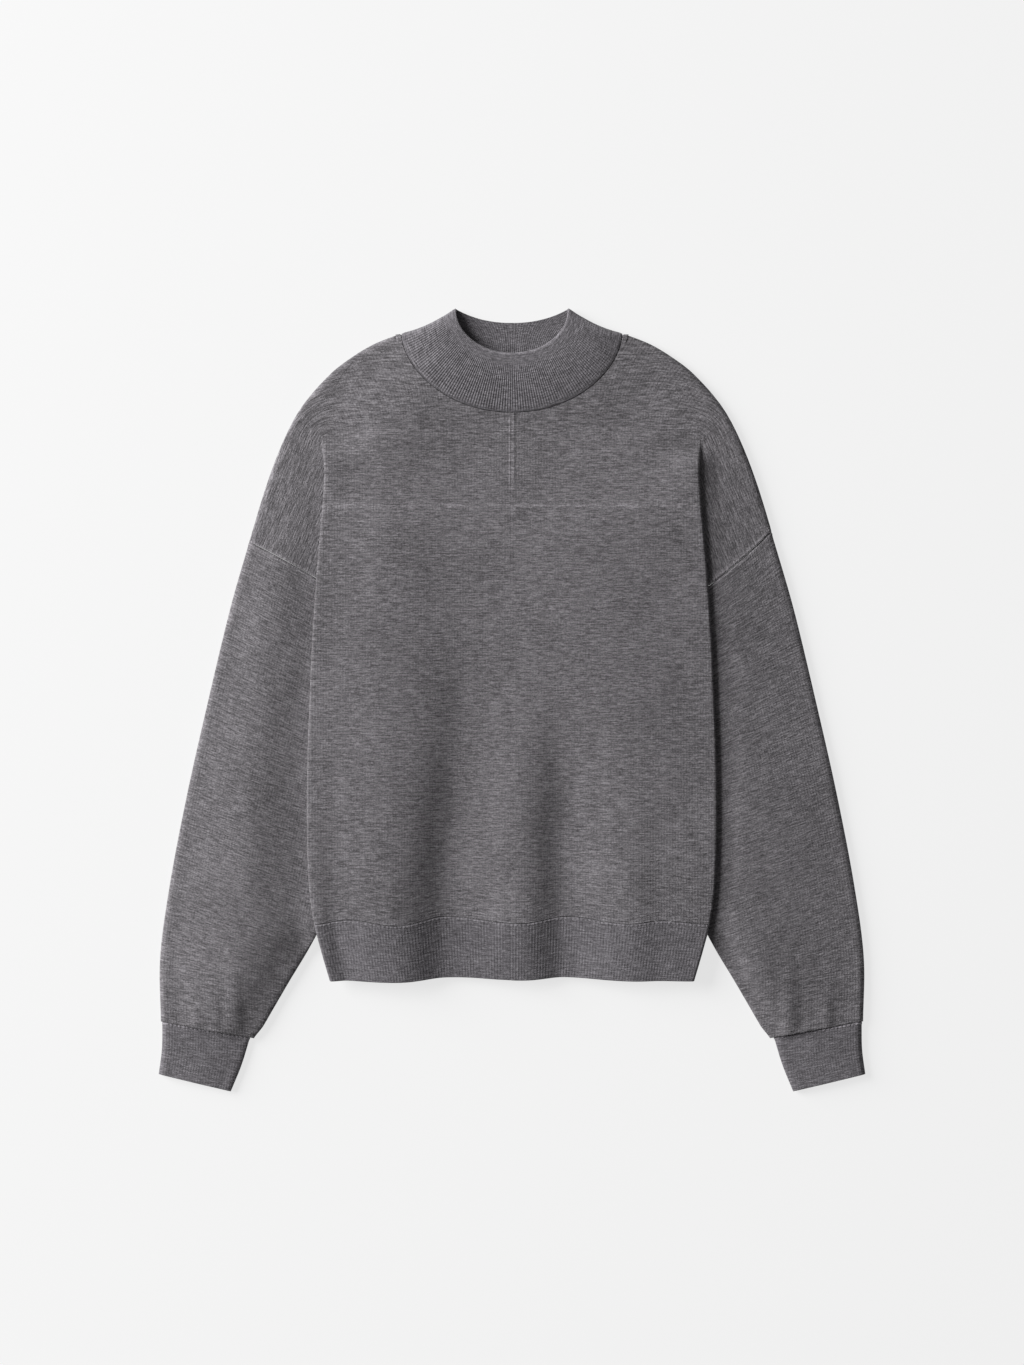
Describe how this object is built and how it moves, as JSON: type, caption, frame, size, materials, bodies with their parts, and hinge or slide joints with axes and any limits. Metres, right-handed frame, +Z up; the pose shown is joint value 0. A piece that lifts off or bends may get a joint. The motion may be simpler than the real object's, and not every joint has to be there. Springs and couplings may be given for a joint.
{
  "type": "mock neck sweater",
  "caption": "Fine grey wool mock neck sweater with drop shoulders, full sleeves and ribbed collar, hem and cuffs, laid flat.",
  "frame": {"origin": "on the surface the sweater lies on, at the middle of its outline", "axes": "+X towards the wearer's left sleeve, +Y from hem to neck, +Z up out of the front"},
  "size_m": [0.66, 0.7313, 0.0151],
  "materials": {
    "jersey": "matt fine wool jersey, grey melange",
    "rib": "matt fine wool rib, grey melange"
  },
  "bodies": {
    "root": {"front": "jersey", "back": "jersey", "collar": "rib", "hem_band": "rib", "sleeve_right": "jersey", "cuff_right": "rib", "sleeve_left": "jersey", "cuff_left": "rib"}
  },
  "joints": []
}
